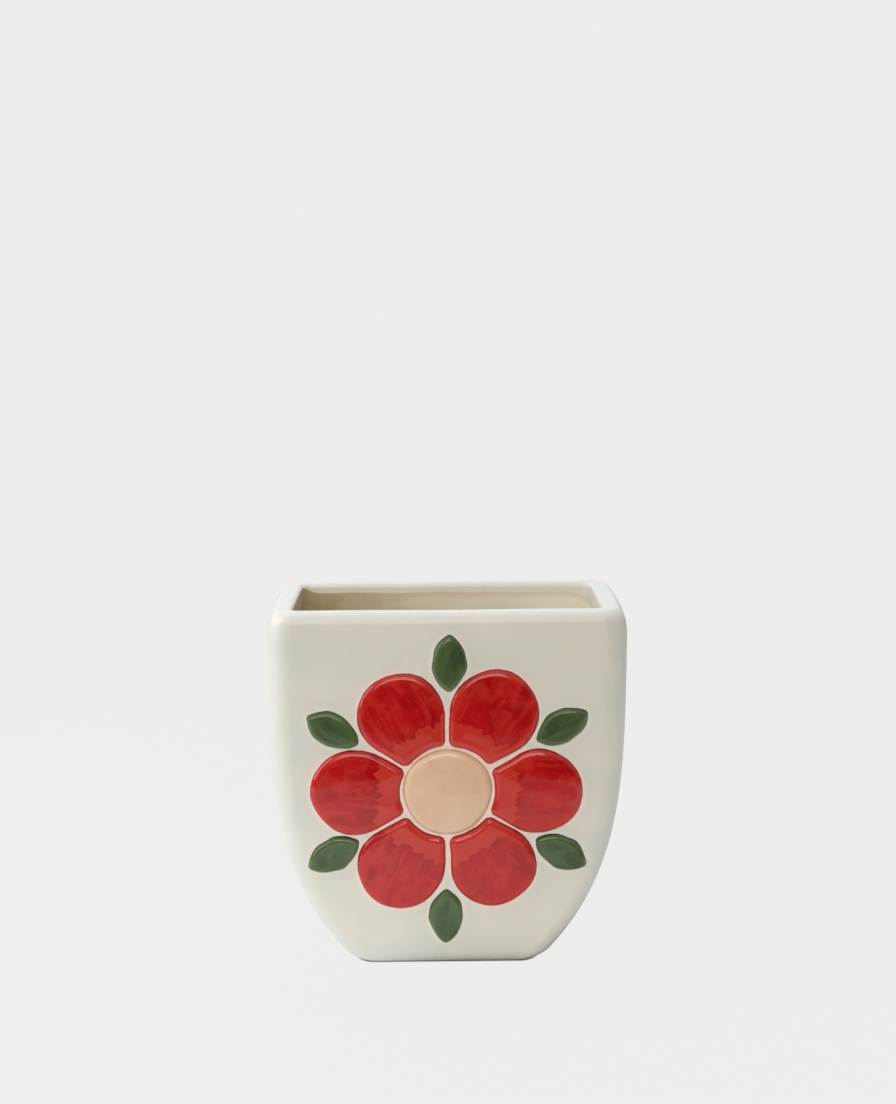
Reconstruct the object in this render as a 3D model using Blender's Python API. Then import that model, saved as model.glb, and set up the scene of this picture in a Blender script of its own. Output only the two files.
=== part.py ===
"""A flat-sided ceramic vase, narrowed towards its foot, with a flower of raised sprigs on its front.

Run it with: blender --background --python part.py, or from Blender's text editor.

Frame: metres, +Z up, the decorated front faces -Y. The origin is under the middle of the whole object.

The body is one hollow cast piece: a rounded rectangle in plan, lofted up a curved side outline, with a
rounded lip, a rounded cavity and a shallow recess under the foot. The flower is made of sprigs, thin pads
of clay that are moulded apart and laid on the wall before firing: six petals round a heart, and a leaf in
each notch between two petals. Every sprig is its own object and carries its own glaze.
"""

import math

import bmesh
import bpy

# Driving sizes of the body.
WIDTH = 0.1545
DEPTH = 0.0750
HEIGHT = 0.1552
WALL_SIDE = 0.0115
WALL_FRONT = 0.0095
FLOOR = 0.0100

# The narrow sides fall in by SIDE_TAPER from the rim to the foot, slowly at first.
SIDE_TAPER = 0.0343
TAPER_POWER = 4.3

# The upright corners, which tighten over the lip and over the foot's rolled edge.
CORNER = 0.0100
LIP_CORNER = 0.0080
FOOT_CORNER = 0.0060
INNER_CORNER = 0.0040

# The lip rolls over further than it rises at the front and back, and rises long at the narrow sides. Its
# inner edge and the cavity's edge are round.
LIP_ACROSS_SIDE = 0.0044
LIP_RISE_SIDE = 0.0125
LIP_ACROSS_FRONT = 0.0056
LIP_RISE_FRONT = 0.0045
LIP_INSIDE = 0.0020
CAVITY_EDGE = 0.0080

# How far the front and back faces and the narrow sides belly out.
CROWN = 0.0008
SIDE_BELLY = 0.0014

# The foot's edge is rolled further in at the narrow sides than at the front and back.
FOOT_ROLL_SIDE = 0.0057
FOOT_ROLL_FRONT = 0.0025
FOOT_ROLL_HEIGHT = 0.0046

# The foot's underside: a flat band all round a shallow recess.
FOOT_BAND = 0.0070
RECESS_DEPTH = 0.0012
RECESS_SLOPE = 0.0010

# How finely the loft is divided.
ARC_STEPS = 6
LONG_STEPS = 8
SHORT_STEPS = 4
WALL_ROWS = 16
CAVITY_ROWS = 11
EDGE_ROWS = 4

# The flower, measured from its centre on the front wall.
FLOWER_Z = 0.0780
PETALS = 6
HEART_RADIUS = 0.0188
PETAL_REACH = 0.0575
HEART_GAP = 0.0014
HALF_GAP = 0.0009
LEAF_MIDDLE = 0.0560
LEAF_HALF_LENGTH = 0.0125
LEAF_HALF_WIDTH = 0.0072

# Where a petal's middle lies, as a share of the way from the heart's edge to its tip.
PETAL_MIDDLE = 0.55

# How a hand-laid sprig departs from the perfect figure.
REACH_JITTER = 0.0007
TURN_JITTER = math.radians(0.7)
WOBBLE = 0.00022

# A sprig's section: how far it stands off the wall, and its rounded edge, whose middle keeps EDGE_SHARE of
# its width outside it and below it.
BEDDING = 0.0003
SPRIG_HEIGHT = 0.0021
HEART_HEIGHT = 0.0026
PILLOW = 0.0003
EDGE_WIDTH = 0.0011
EDGE_SHARE = 0.3
PETAL_EDGE = 0.0030
LEAF_EDGE = 0.0018

# How finely the sprigs' outlines are divided, and how far in their inner rings lie.
HEART_STEPS = 40
CREST_STEPS = 16
LEAF_STEPS = 14
TURN_STEPS = 4
SIDE_STEPS = 3
INNER_RING = 0.5

SHARP_ANGLE = math.radians(35)
WELD_DISTANCE = 1e-7

# The sprigs stand proud on one side only, so the body's middle lies this far behind the origin.
BODY_Y = (HEART_HEIGHT + PILLOW) / 2

IVORY = (0.80, 0.78, 0.69, 1.0)
RED = (0.42, 0.012, 0.014, 1.0)
PEACH = (0.66, 0.42, 0.28, 1.0)
GREEN = (0.055, 0.085, 0.040, 1.0)


def clear_scene():
    for obj in list(bpy.data.objects):
        bpy.data.objects.remove(obj)


def glaze(name, colour, roughness):
    """A plain glaze: a Principled material with one colour."""
    material = bpy.data.materials.new(name)
    material.use_nodes = True
    shader = material.node_tree.nodes["Principled BSDF"]
    shader.inputs["Base Color"].default_value = colour
    shader.inputs["Roughness"].default_value = roughness
    shader.inputs["Metallic"].default_value = 0.0
    material.diffuse_color = colour
    return material


def smooth_object(name, mesh_builder, material):
    """An object from a filled bmesh, shaded smooth except across sharp edges."""
    mesh = bpy.data.meshes.new(name)
    mesh_builder.to_mesh(mesh)
    mesh_builder.free()
    mesh.shade_smooth()
    mesh.set_sharp_from_angle(angle=SHARP_ANGLE)
    mesh.materials.append(material)
    obj = bpy.data.objects.new(name, mesh)
    bpy.context.scene.collection.objects.link(obj)
    return obj


def between(start, end, share):
    return start + (end - start) * share


# ---- The body -------------------------------------------------------------------------------------


def half_width(z):
    """Half the body's outside width at height z."""
    return WIDTH / 2 - SIDE_TAPER * (1 - z / HEIGHT) ** TAPER_POWER


def crown(x, z):
    """How far the front and back faces belly out at (x, z)."""
    across = max(0.0, 1 - (x / half_width(z)) ** 2)
    up = max(0.0, 4 * z * (HEIGHT - z) / HEIGHT**2)
    return CROWN * across * up


def section(z, half_x, half_y, radius, bellied):
    """A rounded rectangle at height z, anticlockwise from above."""
    corners = []
    for sx, sy, start in ((1, 1, 0), (-1, 1, 90), (-1, -1, 180), (1, -1, 270)):
        arc = []
        for step in range(ARC_STEPS + 1):
            angle = math.radians(start + 90 * step / ARC_STEPS)
            x = sx * (half_x - radius) + radius * math.cos(angle)
            y = sy * (half_y - radius) + radius * math.sin(angle)
            arc.append((x, y))
        corners.append(arc)
    outline = []
    for index, arc in enumerate(corners):
        outline += arc
        end = arc[-1]
        following = corners[(index + 1) % 4][0]
        steps = LONG_STEPS if index % 2 == 0 else SHORT_STEPS
        for step in range(1, steps):
            share = step / steps
            outline.append((between(end[0], following[0], share), between(end[1], following[1], share)))
    if bellied:
        outline = [(x * (1 - SIDE_BELLY * (y / (DEPTH / 2)) ** 2 / half_x), y) for x, y in outline]
        outline = [(x, y * (1 + crown(x, z) / (DEPTH / 2))) for x, y in outline]
    return [(x, BODY_Y + y, z) for x, y in outline]


def outside(z, inset_x=0.0, inset_y=0.0, radius=CORNER):
    """The section through the body's outside skin at height z, drawn in by the insets."""
    return section(z, half_width(z) - inset_x, DEPTH / 2 - inset_y, radius, True)


def inside(z, inset=0.0):
    """The section through the cavity at height z, drawn in by the inset."""
    half_x = half_width(z) - WALL_SIDE - inset
    return section(z, half_x, DEPTH / 2 - WALL_FRONT - inset, INNER_CORNER, False)


def quarter(share):
    """(drawn in, climbed) along a quarter circle of radius 1, from upright at share 0 to level at 1."""
    angle = math.radians(90 * share)
    return 1 - math.cos(angle), math.sin(angle)


def foot_sections():
    """From the middle of the underside out to the top of the foot's rolled edge."""
    foot_x = half_width(0) - FOOT_ROLL_SIDE
    foot_y = DEPTH / 2 - FOOT_ROLL_FRONT
    sections = []
    for z, drawn_in in ((RECESS_DEPTH, FOOT_BAND + RECESS_SLOPE), (0, FOOT_BAND)):
        sections.append(section(z, foot_x - drawn_in, foot_y - drawn_in, INNER_CORNER, False))
    for row in range(EDGE_ROWS, 0, -1):
        drawn_in, climbed = quarter(row / EDGE_ROWS)
        z = FOOT_ROLL_HEIGHT * (1 - climbed)
        radius = between(CORNER, FOOT_CORNER, drawn_in)
        sections.append(outside(z, FOOT_ROLL_SIDE * drawn_in, FOOT_ROLL_FRONT * drawn_in, radius))
    return sections


def rolled_in(z, rise):
    """How far the lip has rolled in at height z, as a share, where it does so over the topmost rise."""
    climbed = max(0.0, 1 - (HEIGHT - z) / rise)
    return 1 - math.sqrt(1 - climbed**2)


def wall_sections():
    """Up the outside, over the lip and down to the cavity's floor."""
    sections = []
    side_start = HEIGHT - LIP_RISE_SIDE
    front_start = HEIGHT - LIP_RISE_FRONT
    heights = [between(FOOT_ROLL_HEIGHT, side_start, row / WALL_ROWS) for row in range(WALL_ROWS + 1)]
    heights += [between(side_start, front_start, 0.5)]
    heights += [front_start + LIP_RISE_FRONT * quarter(row / EDGE_ROWS)[1] for row in range(EDGE_ROWS + 1)]
    for z in heights:
        side_share = rolled_in(z, LIP_RISE_SIDE)
        front_share = rolled_in(z, LIP_RISE_FRONT)
        radius = between(CORNER, LIP_CORNER, front_share)
        sections.append(outside(z, LIP_ACROSS_SIDE * side_share, LIP_ACROSS_FRONT * front_share, radius))
    inner_start = HEIGHT - LIP_INSIDE
    for row in range(EDGE_ROWS, 0, -1):
        drawn_in, climbed = quarter(row / EDGE_ROWS)
        sections.append(inside(inner_start + LIP_INSIDE * climbed, -LIP_INSIDE * drawn_in))
    cavity_end = FLOOR + CAVITY_EDGE
    for row in range(CAVITY_ROWS + 1):
        sections.append(inside(between(inner_start, cavity_end, row / CAVITY_ROWS)))
    for row in range(1, EDGE_ROWS + 1):
        drawn_in, climbed = quarter(row / EDGE_ROWS)
        sections.append(inside(cavity_end - CAVITY_EDGE * climbed, CAVITY_EDGE * drawn_in))
    return sections


def make_body(material):
    bm = bmesh.new()
    sections = foot_sections() + wall_sections()
    loops = [[bm.verts.new(point) for point in points] for points in sections]
    for lower, upper in zip(loops, loops[1:]):
        count = len(lower)
        for i in range(count):
            j = (i + 1) % count
            bm.faces.new((lower[i], lower[j], upper[j], upper[i]))
    bm.faces.new(list(reversed(loops[0])))
    bm.faces.new(loops[-1])
    return smooth_object("body", bm, material)


# ---- The sprigs -----------------------------------------------------------------------------------
# A sprig's outline is a core, a closed row of (point, outward normal), grown outwards. Corners of the
# core repeat one point with turning normals, so the grown outline rounds them.


def arc_of(centre, radius, start, end, steps, facing=1):
    """Core points on an arc. facing is 1 where the normals leave the centre and -1 where they face it."""
    core = []
    for step in range(steps + 1):
        angle = between(start, end, step / steps)
        normal = (math.cos(angle), math.sin(angle))
        point = (centre[0] + radius * normal[0], centre[1] + radius * normal[1])
        core.append((point, (facing * normal[0], facing * normal[1])))
    return core


def fan_at(point, start, end):
    """Core points at one corner, whose normals turn from angle start to angle end."""
    return arc_of(point, 0, start, end, TURN_STEPS)


def side_of(start, end, angle):
    """Core points strictly between two points, whose normals all point at angle."""
    normal = (math.cos(angle), math.sin(angle))
    core = []
    for step in range(1, SIDE_STEPS):
        share = step / SIDE_STEPS
        core.append(((between(start[0], end[0], share), between(start[1], end[1], share)), normal))
    return core


def petal_core(reach):
    """A wedge with a round end, in the petal's own frame: it points along +v from the flower's centre."""
    half_angle = math.pi / PETALS
    end_v = (reach + HALF_GAP) / (1 + math.sin(half_angle))
    end_radius = end_v * math.sin(half_angle) - HALF_GAP - PETAL_EDGE
    inner = HEART_RADIUS + HEART_GAP + PETAL_EDGE
    aside = HALF_GAP + PETAL_EDGE
    along = math.sqrt(inner**2 - aside**2)
    corner_u = along * math.sin(half_angle) - aside * math.cos(half_angle)
    corner_v = along * math.cos(half_angle) + aside * math.sin(half_angle)
    corner_angle = math.atan2(corner_v, corner_u)
    left_side = math.pi + half_angle
    right_side = 2 * math.pi - half_angle
    left = (-corner_u, corner_v)
    right = (corner_u, corner_v)
    core = arc_of((0, end_v), end_radius, -half_angle, left_side, CREST_STEPS)
    core += side_of(core[-1][0], left, left_side)
    core += fan_at(left, left_side, 2 * math.pi - corner_angle)
    core += arc_of((0, 0), inner, math.pi - corner_angle, corner_angle, TURN_STEPS, facing=-1)[1:-1]
    core += fan_at(right, math.pi + corner_angle, right_side)
    core += side_of(right, core[0][0], right_side)
    return core


def leaf_core():
    """A pointed oval: two arcs that meet in rounded tips, pointing along +v."""
    arc_radius = (LEAF_HALF_LENGTH**2 + LEAF_HALF_WIDTH**2) / (2 * LEAF_HALF_WIDTH)
    centre_u = arc_radius - LEAF_HALF_WIDTH
    radius = arc_radius - LEAF_EDGE
    spread = math.acos(centre_u / radius)
    right = arc_of((-centre_u, LEAF_MIDDLE), radius, -spread, spread, LEAF_STEPS)
    left = arc_of((centre_u, LEAF_MIDDLE), radius, math.pi - spread, math.pi + spread, LEAF_STEPS)
    tip = fan_at(right[-1][0], spread, math.pi - spread)[1:-1]
    base = fan_at(left[-1][0], math.pi + spread, 2 * math.pi - spread)[1:-1]
    return right + tip + left + base


def heart_core():
    return arc_of((0, 0), HEART_RADIUS - PETAL_EDGE, 0, 2 * math.pi, HEART_STEPS)[:-1]


def wobble(u, v, seed):
    """A slow in-and-out of the outline, as of a shape cut by hand."""
    angle = math.atan2(v, u)
    return WOBBLE * (math.sin(3 * angle + 2.1 * seed) + 0.6 * math.sin(5 * angle - 1.3 * seed))


def sprig_rings(edge, height):
    """(share of the core kept, growth, height off the wall) for each ring, from the back to the front."""
    softened = EDGE_SHARE * EDGE_WIDTH
    return (
        (INNER_RING, 0.0, BEDDING),
        (1.0, edge, BEDDING),
        (1.0, edge, height - EDGE_WIDTH),
        (1.0, edge - softened, height - softened),
        (1.0, edge - EDGE_WIDTH, height),
        (INNER_RING, 0.0, height + PILLOW),
    )


def make_sprig(name, core, middle, edge, height, turn, seed, material):
    """Lays a sprig on the front wall. turn is its angle from upright, clockwise seen from the front, and seed
    sets its wobble."""
    cos_turn = math.cos(turn)
    sin_turn = math.sin(turn)

    def on_wall(u, v, off):
        x = u * cos_turn + v * sin_turn
        z = FLOWER_Z - u * sin_turn + v * cos_turn
        return x, BODY_Y - DEPTH / 2 - crown(x, z) - off, z

    bm = bmesh.new()
    loops = []
    for kept, growth, off in sprig_rings(edge, height):
        loop = []
        for (u, v), (nu, nv) in core:
            grown = growth + (wobble(u - middle[0], v - middle[1], seed) if growth else 0)
            ring_u = between(middle[0], u, kept) + nu * grown
            ring_v = between(middle[1], v, kept) + nv * grown
            loop.append(bm.verts.new(on_wall(ring_u, ring_v, off)))
        loops.append(loop)
    for back, front in zip(loops, loops[1:]):
        count = len(back)
        for i in range(count):
            j = (i + 1) % count
            bm.faces.new((back[i], back[j], front[j], front[i]))
    back_middle = bm.verts.new(on_wall(middle[0], middle[1], BEDDING))
    front_middle = bm.verts.new(on_wall(middle[0], middle[1], height + PILLOW))
    for i, vertex in enumerate(loops[0]):
        bm.faces.new((loops[0][i - 1], back_middle, vertex))
        bm.faces.new((loops[-1][i - 1], loops[-1][i], front_middle))
    bmesh.ops.remove_doubles(bm, verts=bm.verts, dist=WELD_DISTANCE)
    bmesh.ops.recalc_face_normals(bm, faces=bm.faces)
    return smooth_object(name, bm, material)


def make_flower(red, peach, green):
    make_sprig("heart", heart_core(), (0, 0), PETAL_EDGE, HEART_HEIGHT, 0, 0, peach)
    step = 2 * math.pi / PETALS
    for i in range(PETALS):
        reach = PETAL_REACH + REACH_JITTER * math.cos(1.7 * i)
        turn = (i + 0.5) * step + TURN_JITTER * math.sin(2.4 * i)
        middle = (0, between(HEART_RADIUS, reach, PETAL_MIDDLE))
        core = petal_core(reach)
        make_sprig(f"petal_{i + 1}", core, middle, PETAL_EDGE, SPRIG_HEIGHT, turn, i + 1, red)
    for i in range(PETALS):
        turn = i * step + TURN_JITTER * math.cos(1.9 * i)
        middle = (0, LEAF_MIDDLE)
        seed = i + 1 + PETALS
        make_sprig(f"leaf_{i + 1}", leaf_core(), middle, LEAF_EDGE, SPRIG_HEIGHT, turn, seed, green)


def main():
    clear_scene()
    make_body(glaze("ivory_glaze", IVORY, 0.45))
    make_flower(
        glaze("red_glaze", RED, 0.12),
        glaze("peach_glaze", PEACH, 0.18),
        glaze("green_glaze", GREEN, 0.12),
    )


main()
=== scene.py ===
"""Dresses the flat-sided ceramic vase: a cast body in satin ivory glaze over buff clay, and a flower of
raised clay sprigs in brushed, glossy glazes, on a pale studio floor.

Metres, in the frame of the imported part: +Z up, the decorated front faces -Y.
"""

import math

import bmesh
import bpy
import numpy as np
from mathutils import Matrix, Vector


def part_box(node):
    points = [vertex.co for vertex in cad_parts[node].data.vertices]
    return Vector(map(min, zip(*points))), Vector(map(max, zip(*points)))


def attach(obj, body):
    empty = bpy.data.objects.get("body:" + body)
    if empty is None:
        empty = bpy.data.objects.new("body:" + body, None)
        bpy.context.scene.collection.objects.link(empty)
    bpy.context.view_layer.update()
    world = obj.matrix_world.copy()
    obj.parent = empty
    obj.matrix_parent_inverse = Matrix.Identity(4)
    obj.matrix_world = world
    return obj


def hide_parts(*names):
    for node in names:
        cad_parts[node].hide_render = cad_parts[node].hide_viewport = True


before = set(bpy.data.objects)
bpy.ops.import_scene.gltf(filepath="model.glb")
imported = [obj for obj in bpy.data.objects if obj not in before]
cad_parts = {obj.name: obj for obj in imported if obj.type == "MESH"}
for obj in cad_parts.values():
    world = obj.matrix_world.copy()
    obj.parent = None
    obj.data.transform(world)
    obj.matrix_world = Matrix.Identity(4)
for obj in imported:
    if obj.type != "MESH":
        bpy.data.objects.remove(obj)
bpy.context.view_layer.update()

# ---- Sizes ----------------------------------------------------------------------------------------
# The body's box and the flower's height on the wall come from the frame. The rest repeats the part's own
# driving sizes.

BODY_LOW, BODY_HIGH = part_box("body")
HEART_LOW, HEART_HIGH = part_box("heart")

CROWN = 0.0008
SIDE_BELLY = 0.0014
WIDTH = BODY_HIGH.x - BODY_LOW.x
HEIGHT = BODY_HIGH.z
DEPTH = BODY_HIGH.y - BODY_LOW.y - 2 * CROWN
BODY_Y = (BODY_HIGH.y + BODY_LOW.y) / 2
WALL_SIDE = 0.0115
WALL_FRONT = 0.0095
FLOOR = 0.0100
SIDE_TAPER = 0.0343
TAPER_POWER = 4.3
CORNER = 0.0100
LIP_CORNER = 0.0080
FOOT_CORNER = 0.0060
INNER_CORNER = 0.0040
LIP_ACROSS_SIDE = 0.0044
LIP_RISE_SIDE = 0.0125
LIP_ACROSS_FRONT = 0.0056
LIP_RISE_FRONT = 0.0045
LIP_INSIDE = 0.0020
CAVITY_EDGE = 0.0080
FOOT_ROLL_SIDE = 0.0057
FOOT_ROLL_FRONT = 0.0025
FOOT_ROLL_HEIGHT = 0.0046
FOOT_BAND = 0.0070
RECESS_DEPTH = 0.0012
RECESS_SLOPE = 0.0010

FLOWER_Z = (HEART_HIGH.z + HEART_LOW.z) / 2
HEART_RADIUS = 0.0188
PETALS = 6
PETAL_REACH = 0.0575
HEART_GAP = 0.0014
HALF_GAP = 0.0009
LEAF_MIDDLE = 0.0560
LEAF_HALF_LENGTH = 0.0125
LEAF_HALF_WIDTH = 0.0072
PETAL_MIDDLE = 0.55
REACH_JITTER = 0.0007
TURN_JITTER = math.radians(0.7)
WOBBLE = 0.00022
SPRIG_HEIGHT = 0.0021
HEART_HEIGHT = 0.0026
PILLOW = 0.0003
PETAL_EDGE = 0.0030
LEAF_EDGE = 0.0018

# What only the looks need. First, how casting and firing leave the body a little off its true figure:
# how far its foot leans, the shares of its width and depth that it bows in by, how far its rim falls to
# the left and waves, and the lengths of those waves.
LEAN = 0.0009
LEAN_POWER = 1.2
BOW = 0.0028
BOW_LENGTH = 0.11
SQUEEZE = 0.0060
SQUEEZE_LENGTH = 0.09
RIM_FALL = 0.0002
RIM_WAVE = 0.0003
RIM_LENGTH = 0.07

# How far the glaze wraps down inside the rim at the left end, the back and the right end, and how far
# from each end that changes.
WRAP_LEFT = 0.0010
WRAP_BACK = 0.0044
WRAP_RIGHT = 0.0070
WRAP_REACH_LEFT = 0.0050
WRAP_REACH_RIGHT = 0.0080

# How deep a sprig is bedded in the wall, how far its foot flares out, the skirt and the fillet of glaze
# there, and the slope and round shoulder of its flank. TUCK keeps the skirt's edge just under the wall.
SINK = 0.0006
TUCK = 0.00004
FLARE = 0.0008
SKIRT = 0.00040
FILLET = 0.00040
FLANK_ANGLE = math.radians(62)
SHOULDER = 0.0027
LEAF_SHOULDER = 0.0012

# How a sprig's top rises towards its middle, and the soft swells and ripples of the glaze on it.
PILLOW_WIDTH = 0.0045
SWELL = 0.00007
SWELL_LENGTH = 0.016
RIPPLE = 0.00003
RIPPLE_LENGTH = 0.007

# How far beyond the petals, and beside the leaves, the wall counts as beside them.
TINT_REACH = 0.004
TINT_ASIDE = 0.003

# How far apart the brush marks of two sprigs are read.
STROKE_SHIFT = 0.05

# How finely the meshes are divided.
CORNER_STEPS = 14
LONG_STEPS = 80
SHORT_STEPS = 30
WALL_ROWS = 84
CAVITY_ROWS = 40
CAVITY_SPREAD = 1.5
EDGE_ROWS = 10
CAP_SHARES = (0.8, 0.6, 0.4, 0.2)
BAND_SHARES = (0.97, 0.7, 0.3, 0.03)
RECESS_SHARES = (0.5, 1.0)
SPRIG_SPACING = 0.0007
ARC_TURN = math.radians(8)
FILLET_STEPS = 4
FLANK_STEPS = 3
SHOULDER_STEPS = 7
LEAST_TOP_STEPS = 6
WELD_DISTANCE = 0.000002


def between(start, end, share):
    return start + (end - start) * share


def waves(points, length, seed):
    """A smooth field from -1 to 1 over points, (n, 3), that rises and falls over about length."""
    rng = np.random.default_rng(seed)
    total = np.zeros(len(points))
    count = 7
    for _ in range(count):
        direction = rng.normal(size=3)
        direction /= np.linalg.norm(direction)
        stretch = rng.uniform(0.7, 1.5)
        phase = rng.uniform(0, 2 * math.pi)
        total += np.sin(points @ direction * (2 * math.pi / (length * stretch)) + phase)
    return np.clip(total / math.sqrt(2 * count) / 1.2, -1, 1)


def mesh_piece(name, points, faces, material):
    mesh = bpy.data.meshes.new(name)
    mesh.from_pydata([tuple(point) for point in points], [], faces)
    mesh.shade_smooth()
    mesh.materials.append(material)
    obj = bpy.data.objects.new(name, mesh)
    bpy.context.scene.collection.objects.link(obj)
    return obj


def add_values(obj, name, values):
    """A float for each vertex, for the material to read."""
    attribute = obj.data.attributes.new(name, "FLOAT", "POINT")
    attribute.data.foreach_set("value", np.asarray(values, np.float32))


def add_vectors(obj, name, vectors):
    attribute = obj.data.attributes.new(name, "FLOAT_VECTOR", "POINT")
    attribute.data.foreach_set("vector", np.asarray(vectors, np.float32).ravel())


def loft_faces(rows, columns):
    """Quads between closed rows of the same length. The first and the last row are each capped by a
    single vertex, and the two vertices follow the rows."""
    faces = []
    for row in range(rows - 1):
        for i in range(columns):
            j = (i + 1) % columns
            low = row * columns
            high = low + columns
            faces.append((low + i, low + j, high + j, high + i))
    first_cap = rows * columns
    last_cap = first_cap + 1
    top = (rows - 1) * columns
    for i in range(columns):
        j = (i + 1) % columns
        faces.append((j, i, first_cap))
        faces.append((top + i, top + j, last_cap))
    return faces


# ---- The body -------------------------------------------------------------------------------------


def half_width(z):
    return WIDTH / 2 - SIDE_TAPER * (1 - np.clip(z / HEIGHT, 0, 1)) ** TAPER_POWER


def crown(x, z):
    """How far the front and back walls swell out past flat."""
    across = np.clip(1 - (x / half_width(z)) ** 2, 0, None)
    up = np.clip(4 * z * (HEIGHT - z) / HEIGHT**2, 0, None)
    return CROWN * across * up


def section(z, half_x, half_y, radius, bellied):
    """A rounded rectangle at height z, (n, 3), anticlockwise from above about the body's axis."""
    arcs = []
    for sx, sy, start in ((1, 1, 0), (-1, 1, 90), (-1, -1, 180), (1, -1, 270)):
        angles = np.radians(np.linspace(start, start + 90, CORNER_STEPS + 1))
        x = sx * (half_x - radius) + radius * np.cos(angles)
        y = sy * (half_y - radius) + radius * np.sin(angles)
        arcs.append(np.stack([x, y], axis=1))
    outline = []
    for index, arc in enumerate(arcs):
        steps = LONG_STEPS if index % 2 == 0 else SHORT_STEPS
        shares = np.linspace(0, 1, steps + 1)[1:-1, None]
        outline.append(arc)
        outline.append(between(arc[-1], arcs[(index + 1) % 4][0], shares))
    flat = np.concatenate(outline)
    x, y = flat[:, 0], flat[:, 1]
    if bellied:
        x = x * (1 - SIDE_BELLY * (y / (DEPTH / 2)) ** 2 / half_x)
        y = y * (1 + crown(x, z) / (DEPTH / 2))
    return np.stack([x, y, np.full(len(x), float(z))], axis=1)


def quarter(share):
    """(how far across, how far up) the first share of a quarter turn comes."""
    angle = math.radians(90 * share)
    return 1 - math.cos(angle), math.sin(angle)


def outside(z, inset_x=0.0, inset_y=0.0, radius=CORNER):
    return section(z, half_width(z) - inset_x, DEPTH / 2 - inset_y, radius, True)


def inside(z, inset=0.0):
    half_x = half_width(z) - WALL_SIDE - inset
    return section(z, half_x, DEPTH / 2 - WALL_FRONT - inset, INNER_CORNER, False)


def underside(z, drawn_in):
    foot_x = half_width(0) - FOOT_ROLL_SIDE - drawn_in
    foot_y = DEPTH / 2 - FOOT_ROLL_FRONT - drawn_in
    radius = between(FOOT_CORNER, INNER_CORNER, min(1, drawn_in / FOOT_BAND))
    return section(z, foot_x, foot_y, radius, False)


def past_the_wrap(ring):
    """How far below the glaze's edge the points of a ring inside the body lie. The glaze barely passes
    the rim at the left end, and wraps furthest in at the right."""
    end = WIDTH / 2 - WALL_SIDE
    from_left = np.clip((ring[:, 0] + end) / WRAP_REACH_LEFT, 0, 1)
    from_right = np.clip((end - ring[:, 0]) / WRAP_REACH_RIGHT, 0, 1)
    wrap = between(WRAP_LEFT, WRAP_BACK, from_left)
    wrap = between(WRAP_RIGHT, wrap, from_right)
    return HEIGHT - wrap - ring[:, 2]


def rolled_in(z, rise):
    """The share of its whole reach that a lip which starts rise below the rim has rolled in at z."""
    climbed = max(0.0, 1 - (HEIGHT - z) / rise)
    return 1 - math.sqrt(1 - climbed**2)


# The body is a closed row of sections, each with how far it lies past the glaze's edge on the bare clay.


def foot_sections():
    """From the middle of the underside out to the start of the foot's rolled edge, and up it."""
    recess = underside(RECESS_DEPTH, FOOT_BAND + RECESS_SLOPE)
    sections = [(recess * (share, share, 1), FOOT_BAND) for share in reversed(CAP_SHARES)]
    sections.append((recess, FOOT_BAND))
    for share in RECESS_SHARES:
        z = RECESS_DEPTH * (1 - share) ** 2
        sections.append((underside(z, FOOT_BAND + RECESS_SLOPE * (1 - share)), FOOT_BAND))
    for share in BAND_SHARES:
        sections.append((underside(0, FOOT_BAND * share), FOOT_BAND * share))
    for row in range(EDGE_ROWS, 0, -1):
        drawn_in, climbed = quarter(row / EDGE_ROWS)
        z = FOOT_ROLL_HEIGHT * (1 - climbed)
        radius = between(CORNER, FOOT_CORNER, drawn_in)
        ring = outside(z, FOOT_ROLL_SIDE * drawn_in, FOOT_ROLL_FRONT * drawn_in, radius)
        sections.append((ring, -z))
    return sections


def wall_sections():
    """Up the outside and over the lip to its highest line."""
    side_start = HEIGHT - LIP_RISE_SIDE
    front_start = HEIGHT - LIP_RISE_FRONT
    heights = [between(FOOT_ROLL_HEIGHT, side_start, row / WALL_ROWS) for row in range(WALL_ROWS)]
    heights += [between(side_start, front_start, row / EDGE_ROWS) for row in range(EDGE_ROWS)]
    for row in range(EDGE_ROWS + 1):
        heights.append(front_start + LIP_RISE_FRONT * quarter(row / EDGE_ROWS)[1])
    sections = []
    for z in heights:
        side_share = rolled_in(z, LIP_RISE_SIDE)
        front_share = rolled_in(z, LIP_RISE_FRONT)
        radius = between(CORNER, LIP_CORNER, front_share)
        ring = outside(z, LIP_ACROSS_SIDE * side_share, LIP_ACROSS_FRONT * front_share, radius)
        sections.append((ring, -z))
    return sections


def cavity_sections():
    """From the lip's highest line down the inside to the middle of the cavity's floor."""
    inner_start = HEIGHT - LIP_INSIDE
    cavity_end = FLOOR + CAVITY_EDGE
    rings = []
    for row in range(EDGE_ROWS, 0, -1):
        drawn_in, climbed = quarter(row / EDGE_ROWS)
        rings.append(inside(inner_start + LIP_INSIDE * climbed, -LIP_INSIDE * drawn_in))
    for row in range(CAVITY_ROWS + 1):
        rings.append(inside(between(inner_start, cavity_end, (row / CAVITY_ROWS) ** CAVITY_SPREAD)))
    for row in range(1, EDGE_ROWS + 1):
        drawn_in, climbed = quarter(row / EDGE_ROWS)
        rings.append(inside(cavity_end - CAVITY_EDGE * climbed, CAVITY_EDGE * drawn_in))
    sections = [(ring, past_the_wrap(ring)) for ring in rings]
    sections += [(rings[-1] * (share, share, 1), HEIGHT - FLOOR) for share in CAP_SHARES]
    return sections


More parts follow.
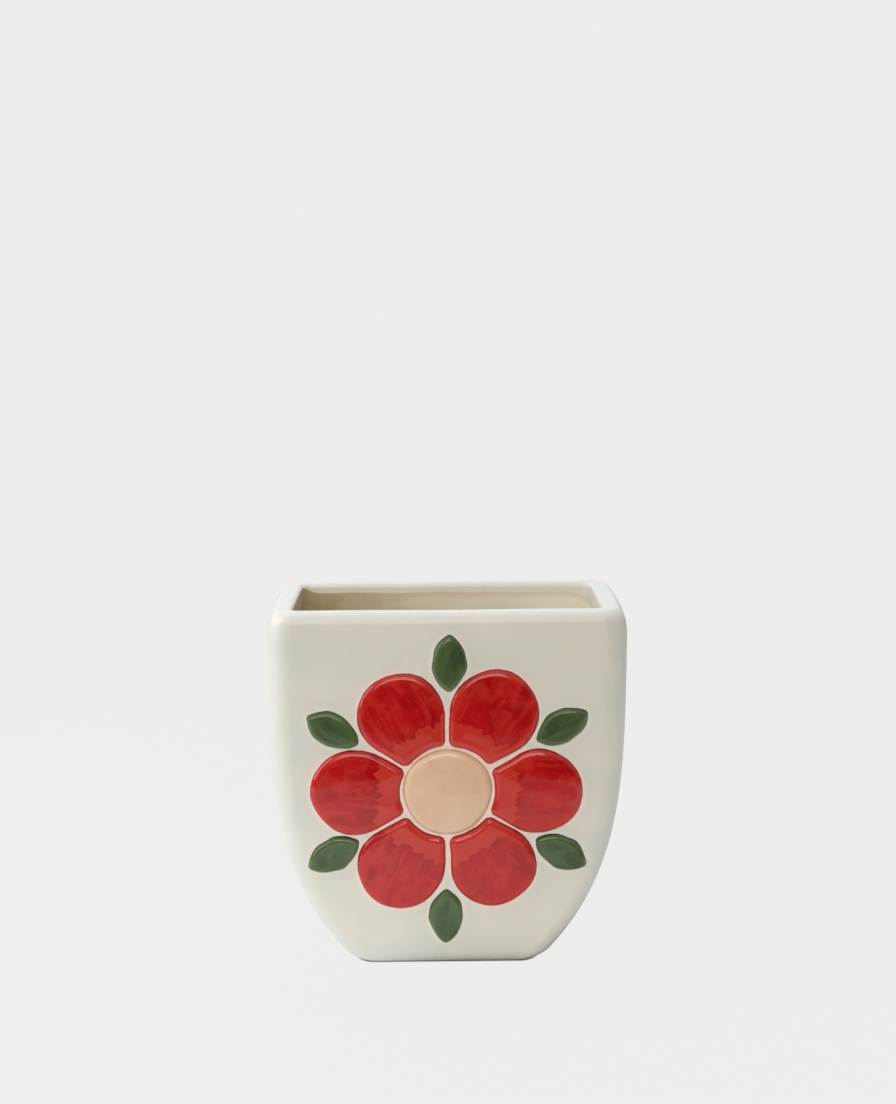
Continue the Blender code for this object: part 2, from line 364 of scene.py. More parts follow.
def by_hand(points):
    """The small departures of a cast, fettled and fired body from its true figure: it bows and leans a
    little, and its rim dips. All of them stay inside the true figure's box."""
    uneven = points.copy()
    bow = 0.6 + 0.4 * waves(points, BOW_LENGTH, seed=3)
    uneven[:, 0] *= 1 - BOW * bow * np.abs(points[:, 0]) / (WIDTH / 2)
    uneven[:, 0] -= LEAN * (1 - points[:, 2] / HEIGHT) ** LEAN_POWER
    squeeze = 0.5 + 0.5 * waves(points, SQUEEZE_LENGTH, seed=4)
    uneven[:, 1] *= 1 - SQUEEZE * squeeze
    to_the_left = 0.5 - points[:, 0] / WIDTH
    wave = 0.5 + 0.5 * waves(points * (1, 1, 0), RIM_LENGTH, seed=5)
    dip = RIM_FALL * to_the_left + RIM_WAVE * wave
    uneven[:, 2] *= 1 - dip / HEIGHT
    return uneven


def sprig_tint(points):
    """1 on the front wall round the petals, -1 round the leaves and 0 elsewhere."""
    up = points[:, 2] - FLOWER_Z
    reach = np.hypot(points[:, 0], up)
    step = 2 * math.pi / PETALS
    turn = np.arctan2(points[:, 0], up)
    aside = reach * np.abs(turn - step * np.round(turn / step))
    far = np.abs(reach - LEAF_MIDDLE)
    by_leaf = (far < LEAF_HALF_LENGTH + TINT_REACH) & (aside < LEAF_HALF_WIDTH + TINT_ASIDE)
    by_petal = reach < PETAL_REACH + TINT_REACH
    in_front = points[:, 1] < BODY_Y - DEPTH / 4
    return np.where(in_front, np.where(by_leaf, -1, np.where(by_petal, 1, 0)), 0)


def make_body(material):
    sections = foot_sections() + wall_sections() + cavity_sections()
    columns = len(sections[0][0])
    points = np.concatenate([ring for ring, _ in sections])
    bare = np.concatenate([np.broadcast_to(past, columns) for _, past in sections])
    caps = np.array([sections[0][0].mean(axis=0), sections[-1][0].mean(axis=0)])
    points = by_hand(np.concatenate([points, caps]))
    bare = np.concatenate([bare, [FOOT_BAND, HEIGHT]])
    points[:, 1] += BODY_Y
    body = mesh_piece("vase_body", points, loft_faces(len(sections), columns), material)
    add_values(body, "bare", bare)
    add_values(body, "tint", sprig_tint(points))
    return body


# ---- The sprigs -----------------------------------------------------------------------------------
# A core is a closed row of points with outward normals, (n, 4). A sprig's sections are the core grown
# outwards, and inside the core shrunk towards the sprig's middle.


def arc_of(centre, radius, start, end, reach, facing=1):
    """Core points on an arc, spaced for an outline that lies reach outside it."""
    turned = abs(end - start)
    length = turned * (radius + facing * reach)
    steps = max(math.ceil(turned / ARC_TURN), math.ceil(length / SPRIG_SPACING))
    angles = np.linspace(start, end, steps + 1)
    normals = np.stack([np.cos(angles), np.sin(angles)], axis=1)
    return np.hstack([np.asarray(centre) + radius * normals, facing * normals])


def line_of(start, end, normal):
    """Core points strictly between two points."""
    start, end = np.asarray(start), np.asarray(end)
    steps = max(2, math.ceil(np.linalg.norm(end - start) / SPRIG_SPACING))
    shares = np.linspace(0, 1, steps + 1)[1:-1, None]
    points = between(start, end, shares)
    return np.hstack([points, np.tile(normal, (len(points), 1))])


def petal_core(reach):
    half_angle = math.pi / PETALS
    end_v = (reach + HALF_GAP) / (1 + math.sin(half_angle))
    end_radius = end_v * math.sin(half_angle) - HALF_GAP - PETAL_EDGE
    inner = HEART_RADIUS + HEART_GAP + PETAL_EDGE
    aside = HALF_GAP + PETAL_EDGE
    along = math.sqrt(inner**2 - aside**2)
    corner_u = along * math.sin(half_angle) - aside * math.cos(half_angle)
    corner_v = along * math.cos(half_angle) + aside * math.sin(half_angle)
    corner_angle = math.atan2(corner_v, corner_u)
    left_side = math.pi + half_angle
    right_side = 2 * math.pi - half_angle
    left, right = (-corner_u, corner_v), (corner_u, corner_v)
    crest = arc_of((0, end_v), end_radius, -half_angle, left_side, PETAL_EDGE)
    down = line_of(crest[-1, :2], left, (math.cos(left_side), math.sin(left_side)))
    left_corner = arc_of(left, 0, left_side, 2 * math.pi - corner_angle, PETAL_EDGE)
    hollow = arc_of((0, 0), inner, math.pi - corner_angle, corner_angle, 0, facing=-1)[1:-1]
    right_corner = arc_of(right, 0, math.pi + corner_angle, right_side, PETAL_EDGE)
    up = line_of(right, crest[0, :2], (math.cos(right_side), math.sin(right_side)))
    return np.concatenate([crest, down, left_corner, hollow, right_corner, up])


def leaf_core():
    arc_radius = (LEAF_HALF_LENGTH**2 + LEAF_HALF_WIDTH**2) / (2 * LEAF_HALF_WIDTH)
    centre_u = arc_radius - LEAF_HALF_WIDTH
    radius = arc_radius - LEAF_EDGE
    spread = math.acos(centre_u / radius)
    right = arc_of((-centre_u, LEAF_MIDDLE), radius, -spread, spread, LEAF_EDGE)
    left = arc_of((centre_u, LEAF_MIDDLE), radius, math.pi - spread, math.pi + spread, LEAF_EDGE)
    tip = arc_of(right[-1, :2], 0, spread, math.pi - spread, LEAF_EDGE)[1:-1]
    base = arc_of(left[-1, :2], 0, math.pi + spread, 2 * math.pi - spread, LEAF_EDGE)[1:-1]
    return np.concatenate([right, tip, left, base])


def heart_core():
    return arc_of((0, 0), HEART_RADIUS - PETAL_EDGE, 0, 2 * math.pi, PETAL_EDGE)[:-1]


def outline_wobble(u, v, seed):
    angle = np.arctan2(v, u)
    return WOBBLE * (np.sin(3 * angle + 2.1 * seed) + 0.6 * np.sin(5 * angle - 1.3 * seed))


def flank(height, shoulder):
    """(inward, off, path) along a sprig's flank: a thin skirt of glaze, a small fillet, a steep side and
    a round shoulder. inward is measured from the skirt's edge, off from the wall, and path along the
    skin."""
    turn = FLANK_ANGLE
    rise = height - (FILLET + shoulder) * (1 - math.cos(turn))
    side = rise / math.sin(turn)
    rows = []
    for angle in np.linspace(0, turn, FILLET_STEPS + 1):
        inward = SKIRT + FILLET * math.sin(angle)
        rows.append((inward, FILLET * (1 - math.cos(angle)), SKIRT + FILLET * angle))
    inward, off, path = rows[-1]
    for share in np.linspace(0, 1, FLANK_STEPS + 1)[1:]:
        along = side * share
        rows.append((inward + along * math.cos(turn), off + along * math.sin(turn), path + along))
    inward, off, path = rows[-1]
    for angle in np.linspace(turn, 0, SHOULDER_STEPS + 1)[1:]:
        across = shoulder * (math.sin(turn) - math.sin(angle))
        up = shoulder * (math.cos(angle) - math.cos(turn))
        rows.append((inward + across, off + up, path + shoulder * (turn - angle)))
    return rows


def depth_inside(points, core):
    """How far points, (n, 2), lie from the nearest point of the core."""
    return np.linalg.norm(points[:, None] - core[None, :, :2], axis=2).min(axis=1)


def pillow(depth):
    """How much higher a sprig's top is at depth inside its core than at the core's edge."""
    return PILLOW * (1 - np.exp(-((depth / PILLOW_WIDTH) ** 2)))


def weld(obj):
    """Merges the points that lie on each other where a core turns its corners."""
    bm = bmesh.new()
    bm.from_mesh(obj.data)
    bmesh.ops.remove_doubles(bm, verts=bm.verts, dist=WELD_DISTANCE)
    bm.to_mesh(obj.data)
    bm.free()


def sprig_plan(core, middle, edge, height):
    """(share of the core kept, growth outside it, height off the wall, path along the skin) for each
    closed row of a sprig, from its bed up the flank and in over the top."""
    rows = flank(height, SHOULDER if edge == PETAL_EDGE else LEAF_SHOULDER)
    start = edge + FLARE
    plan = [(1.0, start, -SINK, 0.0), (1.0, start, -2 * TUCK, 0.0)]
    for inward, off, path in rows:
        plan.append((1.0, start - inward, off - TUCK, path))
    top_grow, top_path = start - rows[-1][0], rows[-1][2]
    steps = max(1, round(top_grow / SPRIG_SPACING))
    for share in np.linspace(0, 1, steps + 1)[1:]:
        plan.append((1.0, top_grow * (1 - share), height, top_path + top_grow * share))
    breadth = np.linalg.norm(core[:, :2] - middle, axis=1).mean()
    steps = max(LEAST_TOP_STEPS, round(breadth / SPRIG_SPACING))
    for kept in np.linspace(1, 0, steps + 1)[1:-1]:
        plan.append((kept, 0.0, height, top_path + top_grow))
    return plan


def sprig_points(plan, core, middle, edge, seed):
    """(place in the flower's plane, height off the wall, path along the skin) of every point of a sprig:
    its closed rows, then the middle of its bed and the middle of its top."""
    wobble = outline_wobble(core[:, 0] - middle[0], core[:, 1] - middle[1], seed)
    flat, off, path = [], [], []
    for kept, grow, height_off, travelled in plan:
        ring = middle + (core[:, :2] - middle) * kept
        if grow:
            ring = ring + core[:, 2:] * (grow + wobble * min(1, grow / edge))[:, None]
        depth = depth_inside(ring, core) if kept < 1 else np.zeros(len(core))
        flat.append(ring)
        off.append(height_off + pillow(depth))
        path.append(travelled + depth)
    depth = depth_inside(middle[None], core)[0]
    height, top_path = plan[-1][2:]
    flat.append(np.array([middle, middle]))
    off.append(np.array([-SINK, height + pillow(depth)]))
    path.append(np.array([0.0, top_path + depth]))
    return np.concatenate(flat), np.concatenate(off), np.concatenate(path)


def on_wall(flat, off, turn):
    """Points of the flower's plane, (n, 2), turned about its centre and laid off the crowned front."""
    across = flat[:, 0] * math.cos(turn) + flat[:, 1] * math.sin(turn)
    up = FLOWER_Z - flat[:, 0] * math.sin(turn) + flat[:, 1] * math.cos(turn)
    placed = by_hand(np.stack([across, -DEPTH / 2 - crown(across, up), up], axis=1))
    placed[:, 1] += BODY_Y - off
    return placed


def make_sprig(name, core, middle, edge, height, turn, seed, material):
    """A sprig bedded in the front wall. turn is its angle from upright, clockwise seen from the front."""
    middle = np.asarray(middle, float)
    plan = sprig_plan(core, middle, edge, height)
    flat, off, path = sprig_points(plan, core, middle, edge, seed)
    placed = on_wall(flat, off, turn)
    swell = SWELL * waves(placed, SWELL_LENGTH, seed * 10 + 1)
    ripple = RIPPLE * waves(placed, RIPPLE_LENGTH, seed * 10 + 2)
    placed[:, 1] -= (swell + ripple) * np.clip(off / height, 0, 1)
    sprig = mesh_piece(name, placed, loft_faces(len(plan), len(core)), material)
    add_values(sprig, "edge", path)
    stroke = np.stack([flat[:, 0], flat[:, 1], np.full(len(flat), STROKE_SHIFT * seed)], axis=1)
    add_vectors(sprig, "stroke", stroke)
    weld(sprig)
    return sprig


def make_flower(red, peach, green):
    """(piece, node it replaces, slot) for every sprig."""
    heart = make_sprig("heart_sprig", heart_core(), (0, 0), PETAL_EDGE, HEART_HEIGHT, 0, 0, peach)
    made = [(heart, "heart", "peach_glaze")]
    step = 2 * math.pi / PETALS
    for i in range(PETALS):
        reach = PETAL_REACH + REACH_JITTER * math.cos(1.7 * i)
        turn = (i + 0.5) * step + TURN_JITTER * math.sin(2.4 * i)
        middle = (0, between(HEART_RADIUS, reach, PETAL_MIDDLE))
        name = f"petal_sprig_{i + 1}"
        core = petal_core(reach)
        petal = make_sprig(name, core, middle, PETAL_EDGE, SPRIG_HEIGHT, turn, i + 1, red)
        made.append((petal, f"petal_{i + 1}", "red_glaze"))
    for i in range(PETALS):
        turn = i * step + TURN_JITTER * math.cos(1.9 * i)
        name = f"leaf_sprig_{i + 1}"
        middle = (0, LEAF_MIDDLE)
        seed = i + 1 + PETALS
        leaf = make_sprig(name, leaf_core(), middle, LEAF_EDGE, SPRIG_HEIGHT, turn, seed, green)
        made.append((leaf, f"leaf_{i + 1}", "green_glaze"))
    return made


# ---- Glazes ---------------------------------------------------------------------------------------


class Nodes:
    """Short calls for building one material's node tree."""

    def __init__(self, name):
        self.material = bpy.data.materials.new(name)
        self.material.use_nodes = True
        self.tree = self.material.node_tree
        self.shader = self.tree.nodes["Principled BSDF"]

    def add(self, kind, inputs=None, **settings):
        node = self.tree.nodes.new(kind)
        for key, value in settings.items():
            setattr(node, key, value)
        for key, value in (inputs or {}).items():
            self.feed(node.inputs[key], value)
        return node

    def feed(self, socket, value):
        if isinstance(value, bpy.types.NodeSocket):
            self.tree.links.new(value, socket)
        else:
            socket.default_value = value

    def attribute(self, name, output):
        return self.add("ShaderNodeAttribute", attribute_name=name).outputs[output]

    def math(self, operation, first, second=0.0, clamp=False):
        node = self.add("ShaderNodeMath", operation=operation, use_clamp=clamp)
        self.feed(node.inputs[0], first)
        self.feed(node.inputs[1], second)
        return node.outputs[0]

    def shifted(self, value, noise, reach):
        """value moved up and down with a noise, over about reach in all."""
        return self.math("ADD", value, self.math("MULTIPLY", self.math("SUBTRACT", noise, 0.5), reach))

    def ramp(self, value, low, high):
        """value eased from 0 at low to 1 at high."""
        inputs = {"Value": value, "From Min": low, "From Max": high}
        node = self.add("ShaderNodeMapRange", inputs, interpolation_type="SMOOTHSTEP")
        return node.outputs["Result"]

    def part(self, value, low, high, most):
        """value eased from 0 at low to most at high."""
        return self.math("MULTIPLY", self.ramp(value, low, high), most)

    def band(self, value, start, end):
        """value eased up to 1 over start and back down to 0 over end, each a pair of values."""
        return self.math("SUBTRACT", self.ramp(value, *start), self.ramp(value, *end))

    def stretched(self, vector, lengths):
        """vector scaled so that one unit is each of the three lengths."""
        node = self.add("ShaderNodeVectorMath", operation="MULTIPLY")
        self.feed(node.inputs[0], vector)
        self.feed(node.inputs[1], tuple(1 / length for length in lengths))
        return node.outputs[0]

    def noise(self, vector, detail, distortion=0.0):
        inputs = {"Vector": vector, "Scale": 1.0, "Detail": detail, "Distortion": distortion}
        return self.add("ShaderNodeTexNoise", inputs).outputs["Fac"]

    def mix(self, share, first, second):
        """The colour between first, at a share of 0, and second, at 1."""
        node = self.add("ShaderNodeMix", data_type="RGBA")
        self.feed(node.inputs["Factor"], share)
        self.feed(node.inputs[6], first)
        self.feed(node.inputs[7], second)
        return node.outputs[2]

    def bump(self, height, distance, onto=None):
        inputs = {"Height": height, "Distance": distance}
        if onto is not None:
            inputs["Normal"] = onto
        return self.add("ShaderNodeBump", inputs).outputs["Normal"]

    def finish(self, colour, roughness, normal):
        self.feed(self.shader.inputs["Base Color"], colour)
        self.feed(self.shader.inputs["Roughness"], roughness)
        self.feed(self.shader.inputs["Normal"], normal)
        return self.material


IVORY = (0.668, 0.656, 0.588, 1)
IVORY_THIN = (0.703, 0.680, 0.605, 1)
IVORY_COOL = (0.637, 0.640, 0.579, 1)
CLAY = (0.64, 0.585, 0.442, 1)
# Painted shade: the dark clay at the cavity's left, also used just below the glaze's edge.
CLAY_DARK = (0.42, 0.310, 0.175, 1)
CLAY_PALE = (0.72, 0.63, 0.48, 1)
# Painted light: the clay brightened towards the cavity's right.
CLAY_LIT = (0.78, 0.74, 0.62, 1)

# What the petals and the leaves lend the ivory beside them: a tint, lighter than the ivory as a painted
# highlight on the glaze's fillet.
BLUSH_AND_HIGHLIGHT = (0.95, 0.740, 0.660, 1)
MILK_AND_HIGHLIGHT = (0.80, 0.800, 0.710, 1)

# The brushed glazes: the first coat; the deep, body and bright tones of the second; the dark line at a
# sprig's foot, glaze that pools there with painted shade; and the tint over its skirt, with a painted
# highlight.
RED = (
    (0.50, 0.034, 0.022, 1),
    (0.34, 0.004, 0.006, 1),
    (0.43, 0.007, 0.009, 1),
    (0.52, 0.026, 0.018, 1),
    (0.13, 0.004, 0.006, 1),
    (0.95, 0.700, 0.630, 1),
)
PEACH = (
    (0.70, 0.475, 0.325, 1),
    (0.65, 0.425, 0.290, 1),
    (0.69, 0.463, 0.315, 1),
    (0.73, 0.505, 0.357, 1),
    (0.60, 0.365, 0.250, 1),
    (0.76, 0.640, 0.530, 1),
)
GREEN = (
    (0.058, 0.105, 0.040, 1),
    (0.034, 0.060, 0.026, 1),
    (0.048, 0.084, 0.036, 1),
    (0.090, 0.135, 0.045, 1),
    (0.016, 0.026, 0.012, 1),
    (0.62, 0.640, 0.480, 1),
)

# Where a sprig's glaze changes, along the skin from its skirt's edge: the tint, with its painted
# highlight, gives way to colour; the dark line, glaze that pools with painted shade, starts and ends; and
# the thin glaze over the shoulder, lighter as a painted highlight, starts and ends.
TINT_ENDS = (0.0005, 0.0009)
LINE_STARTS = (0.0007, 0.0009)
LINE_ENDS = (0.0012, 0.0018)
THIN_AND_HIGHLIGHT_STARTS = (0.0012, 0.0018)
THIN_AND_HIGHLIGHT_ENDS = (0.0030, 0.0068)

# How far from a sprig its tint and painted highlight reach on the ivory, and the least of the dark line
# that stays, where the flank faces down and to the left. The line grows where the flank faces up, where
# glaze pools, and to the right, where it is painted shade.
HALO_REACH = 0.0030
LEAST_LINE = 0.20


def bare_clay(n, place, grain, past, is_bare):
    """Buff clay, darker just below the glaze's edge, with painted shade that darkens it towards the left
    of the cavity and painted light that brightens it towards the right."""
    shade_jitter = n.noise(n.stretched(place, (0.014, 0.014, 0.010)), detail=2)
    across = n.add("ShaderNodeSeparateXYZ", {"Vector": place}).outputs["X"]
    across = n.shifted(across, shade_jitter, 0.060)
    # Painted shade darkens the clay towards the left, painted light brightens it towards the right.
    clay = n.mix(n.ramp(across, -0.070, -0.010), CLAY_DARK, CLAY)
    clay = n.mix(n.ramp(across, -0.030, 0.060), clay, CLAY_LIT)
    clay = n.mix(n.part(grain, 0.45, 0.75, 0.25), clay, CLAY_PALE)
    # The clay darker just below the glaze's edge.
    darker_below_edge = n.math("SUBTRACT", is_bare, n.ramp(past, 0.0, 0.0040))
    return n.mix(n.math("MULTIPLY", darker_below_edge, 0.35), clay, CLAY_DARK)


def tint_and_highlight_beside_sprigs(n, glaze):
    """The glaze with a blush close round the petals and a milky edge close round the leaves, both lighter
    than the ivory as a painted highlight in the crease at each sprig's foot.
    """
    around = n.add("ShaderNodeAmbientOcclusion", {"Distance": HALO_REACH}, samples=8).outputs["AO"]
    tint = n.attribute("tint", "Fac")
    beside = n.math("SUBTRACT", 1.0, n.ramp(around, 0.78, 1.0))
    beside = n.math("MULTIPLY", beside, n.math("ABSOLUTE", tint))
    # Lighter than the ivory: a pink or milky tint with a painted highlight on it.
    lent = n.mix(n.ramp(tint, -0.2, 0.2), MILK_AND_HIGHLIGHT, BLUSH_AND_HIGHLIGHT)
    return n.mix(n.math("MULTIPLY", beside, 0.9), glaze, lent)


def ivory_material():
    """Satin ivory glaze, cloudy and in places thin, which ends in a slightly wavy edge inside the lip
    and at the foot's band. Beyond the edge is the bare clay."""
    n = Nodes("ivory_glaze")
    place = n.add("ShaderNodeTexCoord").outputs["Object"]
    cloud = n.noise(n.stretched(place, (0.030, 0.030, 0.022)), detail=3)
    drift = n.noise(n.stretched(place, (0.009, 0.009, 0.013)), detail=2)
    grain = n.noise(n.stretched(place, (0.0006, 0.0006, 0.0006)), detail=3)
    ragged = n.noise(n.stretched(place, (0.012, 0.012, 0.012)), detail=2)
    peel = n.noise(n.stretched(place, (0.0035, 0.0035, 0.0035)), detail=1)
    past = n.shifted(n.attribute("bare", "Fac"), ragged, 0.0016)
    is_bare = n.ramp(past, -0.0002, 0.0002)
    glaze = n.mix(n.ramp(cloud, 0.35, 0.65), IVORY_COOL, IVORY)
    glaze = n.mix(n.part(drift, 0.50, 0.72, 0.5), glaze, IVORY_THIN)
    glaze = n.mix(n.part(past, -0.0016, 0.0, 0.5), glaze, CLAY_PALE)
    glaze = tint_and_highlight_beside_sprigs(n, glaze)
    colour = n.mix(is_bare, glaze, bare_clay(n, place, grain, past, is_bare))
    roughness = n.math("ADD", n.math("MULTIPLY", is_bare, 0.35), 0.37)
    normal = n.bump(peel, 0.00003)
    normal = n.bump(n.math("MULTIPLY", grain, is_bare), 0.00006, normal)
    return n.finish(colour, roughness, normal)


def brush_noises(n, along, dab):
    """The noises for what a brush leaves along a sprig: broad ground, marks that are dab wide and long,
    veils, lines of the bristles and flecks."""
    width, length = dab
    ground = n.noise(n.stretched(along, (0.014, 0.018, 0.01)), detail=2, distortion=0.6)
    marks = n.noise(n.stretched(along, (width, length, 0.01)), detail=2, distortion=0.6)
    veils = n.noise(n.stretched(along, (0.009, 0.006, 0.007)), detail=2)
    bristle = n.noise(n.stretched(along, (width * 0.2, length * 0.7, 0.01)), detail=1, distortion=0.2)
    flecks = n.noise(n.stretched(along, (width * 0.25, length * 0.3, 0.008)), detail=1, distortion=0.4)
    return ground, marks, veils, bristle, flecks


def two_coats(n, along, noises, colours, covered_from):
    """The first coat, and over it the second from covered_from along the sprig, where its marks end
    raggedly and thickly."""
    ground, marks, veils, bristle, flecks = noises
    first_coat, deep, body, bright = colours
    second = n.mix(n.ramp(ground, 0.35, 0.62), deep, body)
    second = n.mix(n.part(marks, 0.45, 0.64, 0.50), second, bright)
    second = n.mix(n.part(veils, 0.50, 0.66, 0.42), second, first_coat)
    second = n.mix(n.part(bristle, 0.50, 0.80, 0.30), second, bright)
    second = n.mix(n.part(flecks, 0.60, 0.80, 0.45), second, first_coat)
    first = n.mix(n.part(marks, 0.35, 0.65, 0.5), first_coat, bright)
    ends = n.noise(n.stretched(along, (0.0034, 0.0110, 0.01)), detail=2)
    reach = n.add("ShaderNodeSeparateXYZ", {"Vector": along}).outputs["Y"]
    reach = n.math("SUBTRACT", n.shifted(reach, ends, 0.011), covered_from)
    covered = n.ramp(reach, 0.0, 0.0007)
    thick = n.math("SUBTRACT", covered, n.ramp(reach, 0.0007, 0.0035))
    second = n.mix(n.math("MULTIPLY", thick, 0.5), second, deep)
    return n.mix(covered, first, second)


def painted_material(name, colours, roughness, dab, covered_from=-1.0):
    """Glossy glaze laid on in two coats with a brush. It is thin over the round shoulder, which is
    lighter with a painted highlight. It pools in a dark line at its foot, with painted shade in that
    crease, most where the flank faces up and to the right, the right-facing side darkened as painted
    shade. It tints the ivory beyond, lighter there with a painted highlight."""
    bright, line, halo = colours[3:]
    n = Nodes(name)
    along = n.attribute("stroke", "Vector")
    place = n.add("ShaderNodeTexCoord").outputs["Object"]
    noises = brush_noises(n, along, dab)
    ground, marks, veils, bristle, _ = noises
    colour = two_coats(n, along, noises, colours[:4], covered_from)

    ragged = n.noise(n.stretched(place, (0.0040, 0.0040, 0.0040)), detail=2)
    drift = n.shifted(n.attribute("edge", "Fac"), ragged, 0.0006)
    # A lighter band over the shoulder: the glaze thins there, and the band is also a painted highlight.
    thin = n.math("MULTIPLY", n.band(drift, THIN_AND_HIGHLIGHT_STARTS, THIN_AND_HIGHLIGHT_ENDS), n.ramp(ground, 0.30, 0.60))
    colour = n.mix(n.math("MULTIPLY", thin, 0.7), colour, bright)
    # The dark line at the foot is glaze that pools there with painted shade in the crease. It grows where
    # the flank faces up, where glaze pools, and right, away from the window, as painted shade.
    faces = n.add("ShaderNodeSeparateXYZ", {"Vector": n.add("ShaderNodeNewGeometry").outputs["Normal"]})
    up_and_right = n.math("ADD", n.math("MULTIPLY", faces.outputs["X"], 0.6), faces.outputs["Z"])
    kept = n.math("ADD", n.part(up_and_right, -0.5, 0.6, 1 - LEAST_LINE), LEAST_LINE)
    pooled_and_shaded = n.band(drift, LINE_STARTS, LINE_ENDS)
    pooled_and_shaded = n.math("MULTIPLY", pooled_and_shaded, n.ramp(veils, 0.28, 0.42), clamp=True)
    pooled_and_shaded = n.math("MULTIPLY", pooled_and_shaded, kept)
    colour = n.mix(n.math("MULTIPLY", pooled_and_shaded, 0.9), colour, line)
    # The skirt takes the tint, which round the petals is lighter than the ivory: a pink bleed with a
    # painted highlight.
    colour = n.mix(n.ramp(drift, *TINT_ENDS), halo, colour)
    colour = n.mix(n.ramp(drift, -0.0002, 0.0003), IVORY, colour)

    normal = n.bump(marks, 0.00003)
    normal = n.bump(ground, 0.00006, normal)
    normal = n.bump(bristle, 0.000008, normal)
    return n.finish(colour, roughness, normal)


# ---- The studio -----------------------------------------------------------------------------------

PALE = (0.855, 0.847, 0.838, 1)
DAYLIGHT = (0.78, 0.81, 0.84, 1)
LEFT_GLOW = (1.03, 1.075, 1.075, 1)
RIGHT_GLOW = (0.76, 0.77, 0.74, 1)

PAPER_HALF_WIDTH = 0.60
PAPER_FRONT = -0.37
PAPER_FADE = 0.17
PAPER_BACK = 1.2
PAPER_GREY = (0.02, 0.02, 0.02, 1)
PAPER_GLOW = 0.975
CONTACT_REACH = 0.0008
SHADE_REACH = 0.035

# The dome's light: the axis it varies along, the values it rises between, and how bright it gets. Above
# the horizon only, the light from behind is added to the light from overhead.
OVERHEAD = ("Z", 0.0, 1.0, 1.02)
BEHIND = ("Y", -0.35, 1.0, 1.24)
ABOVE_HORIZON = ("Z", -0.06, 0.06, 1.0)

# The camera's place from the vase's axis and from its rim, and its angles in degrees.
LENS = 49.1
EYE_ASIDE = -0.0049
EYE_DISTANCE = 0.650
EYE_RISE = 0.133
TURNED = -0.49
TILTED = 9.94
ROLLED = -0.29


def make_floor():
    """A pale sheet that glows as paper lit from all round does. To the camera it darkens only where the
    vase closes over it. It throws more light onto the vase from the left, where the window is, than from
    the right, and less from its near edge."""
    front = PAPER_FRONT
    back = PAPER_BACK
    side = PAPER_HALF_WIDTH
    corners = [(-side, front, 0), (side, front, 0), (side, back, 0), (-side, back, 0)]
    n = Nodes("pale_paper")
    n.feed(n.shader.inputs["Base Color"], PAPER_GREY)
    n.feed(n.shader.inputs["Roughness"], 0.9)
    n.feed(n.shader.inputs["Specular IOR Level"], 0.0)
    place = n.add("ShaderNodeSeparateXYZ", {"Vector": n.add("ShaderNodeTexCoord").outputs["Object"]})
    x, y = place.outputs["X"], place.outputs["Y"]
    seen = n.add("ShaderNodeLightPath").outputs["Is Camera Ray"]

    away = n.math("MAXIMUM", n.ramp(x, 0.10, 0.35), n.ramp(y, 0.0, 0.25))
    thrown = n.mix(away, n.mix(n.ramp(x, -0.08, 0.08), LEFT_GLOW, RIGHT_GLOW), PALE)
    n.feed(n.shader.inputs["Emission Color"], n.mix(seen, thrown, PALE))

    contact = n.add("ShaderNodeAmbientOcclusion", {"Distance": CONTACT_REACH}, samples=8).outputs["AO"]
    shade = n.add("ShaderNodeAmbientOcclusion", {"Distance": SHADE_REACH}, samples=8).outputs["AO"]
    hidden = n.math("SUBTRACT", 1.0, n.ramp(shade, 0.30, 1.0))
    hidden = n.math("MULTIPLY", hidden, n.ramp(x, -0.05, 0.01))
    hidden = n.math("MULTIPLY", hidden, n.math("SUBTRACT", 1.0, seen))
    strength = n.math("MULTIPLY", n.ramp(contact, 0.0, 0.9), n.math("SUBTRACT", 1.0, hidden))
    lit = n.math("MAXIMUM", seen, n.ramp(y, front, front + PAPER_FADE))
    strength = n.math("MULTIPLY", strength, lit)
    n.feed(n.shader.inputs["Emission Strength"], n.math("MULTIPLY", strength, PAPER_GLOW))
    mesh_piece("studio_floor", corners, [(0, 1, 2, 3)], n.material)


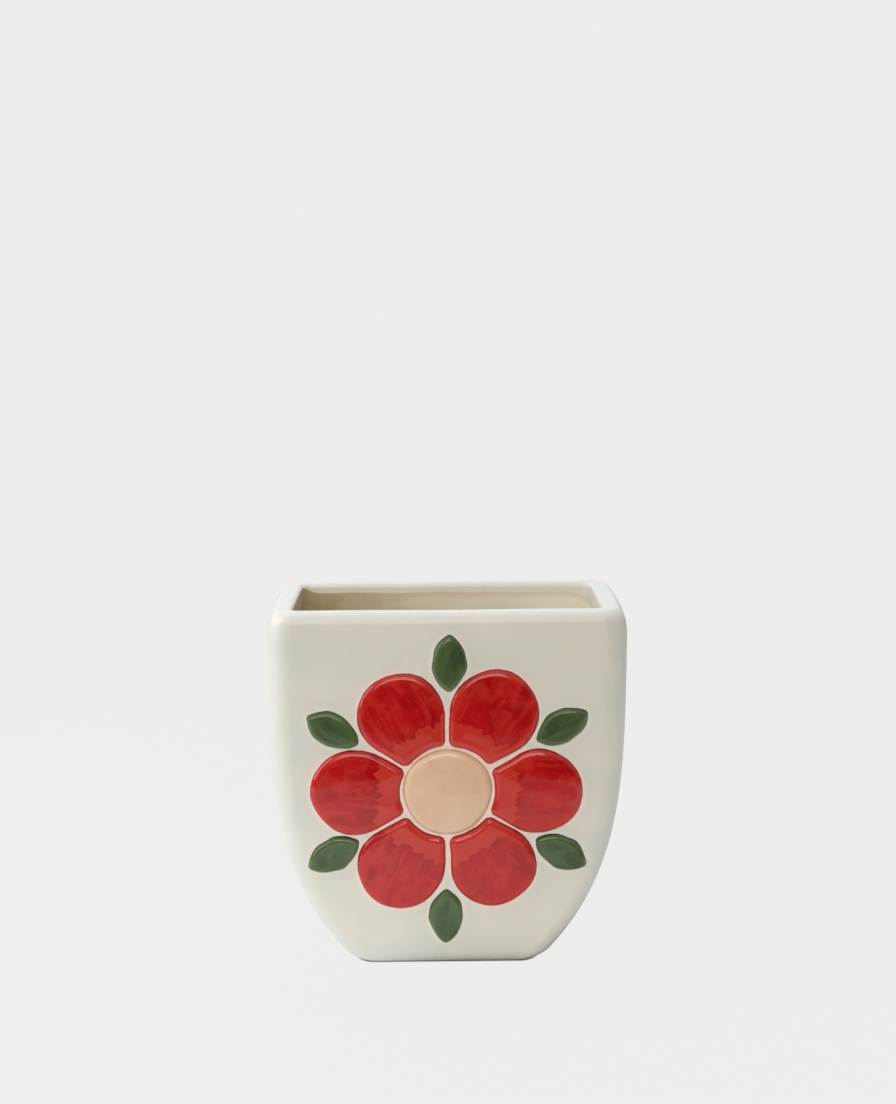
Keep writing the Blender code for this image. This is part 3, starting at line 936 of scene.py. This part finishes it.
def make_world():
    """Pale to the camera. As a light it is a soft dome, brightest behind the vase and overhead, and dark
    below the horizon past the sheet's near edge."""
    world = bpy.data.worlds.new("studio")
    bpy.context.scene.world = world
    world.use_nodes = True
    tree = world.node_tree
    tree.nodes.clear()
    links = tree.links
    where = tree.nodes.new("ShaderNodeTexCoord")
    split = tree.nodes.new("ShaderNodeSeparateXYZ")
    links.new(where.outputs["Generated"], split.inputs[0])
    lobes = []
    for axis, low, high, bright in (BEHIND, ABOVE_HORIZON, OVERHEAD):
        lobe = tree.nodes.new("ShaderNodeMapRange")
        lobe.inputs["From Min"].default_value = low
        lobe.inputs["From Max"].default_value = high
        lobe.inputs["To Max"].default_value = bright
        links.new(split.outputs[axis], lobe.inputs["Value"])
        lobes.append(lobe.outputs["Result"])
    strength = tree.nodes.new("ShaderNodeMath")
    strength.operation = "MULTIPLY_ADD"
    for socket, lobe in zip(strength.inputs, lobes):
        links.new(lobe, socket)
    lights = tree.nodes.new("ShaderNodeBackground")
    lights.inputs["Color"].default_value = DAYLIGHT
    links.new(strength.outputs[0], lights.inputs["Strength"])
    seen = tree.nodes.new("ShaderNodeBackground")
    seen.inputs["Color"].default_value = PALE
    path = tree.nodes.new("ShaderNodeLightPath")
    chooser = tree.nodes.new("ShaderNodeMixShader")
    links.new(path.outputs["Is Camera Ray"], chooser.inputs["Fac"])
    links.new(lights.outputs[0], chooser.inputs[1])
    links.new(seen.outputs[0], chooser.inputs[2])
    output = tree.nodes.new("ShaderNodeOutputWorld")
    links.new(chooser.outputs[0], output.inputs["Surface"])


def make_softbox(name, place, aim, size, power, colour):
    """A square soft light of the given size, turned to face aim."""
    light = bpy.data.lights.new(name, "AREA")
    light.shape = "RECTANGLE"
    light.size = size
    light.size_y = size
    light.energy = power
    light.color = colour
    lamp = bpy.data.objects.new(name, light)
    lamp.location = place
    lamp.rotation_euler = (Vector(aim) - Vector(place)).to_track_quat("-Z", "Y").to_euler()
    bpy.context.scene.collection.objects.link(lamp)


def make_camera():
    """At eye height of someone seated close by, looking a little down."""
    camera = bpy.data.cameras.new("camera")
    camera.lens = LENS
    viewer = bpy.data.objects.new("camera", camera)
    place = Matrix.Translation((EYE_ASIDE, BODY_Y - EYE_DISTANCE, HEIGHT + EYE_RISE))
    turned = Matrix.Rotation(math.radians(TURNED), 4, "Z")
    tilted = Matrix.Rotation(math.radians(90 - TILTED), 4, "X")
    rolled = Matrix.Rotation(math.radians(ROLLED), 4, "Z")
    viewer.matrix_world = place @ turned @ tilted @ rolled
    bpy.context.scene.collection.objects.link(viewer)
    bpy.context.scene.camera = viewer


def main():
    body = make_body(ivory_material())
    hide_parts("body")
    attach(body, "root")

    red = painted_material("red_glaze", RED, 0.08, (0.0036, 0.0150), covered_from=0.029)
    peach = painted_material("peach_glaze", PEACH, 0.14, (0.0140, 0.0040))
    green = painted_material("green_glaze", GREEN, 0.08, (0.0036, 0.0100))
    for piece, node, slot in make_flower(red, peach, green):
        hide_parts(node)
        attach(piece, "root")

    make_floor()
    make_world()
    make_softbox("window", (-0.45, -0.03, 0.26), (0, 0, 0.10), 0.35, 1.28, (0.87, 0.90, 1.0))
    make_softbox("lamp", (-0.10, -0.90, 0.50), (0, 0, 0.08), 0.7, 5.15, (1.0, 0.89, 0.79))
    make_camera()
    bpy.context.scene.view_settings.view_transform = "Standard"


main()
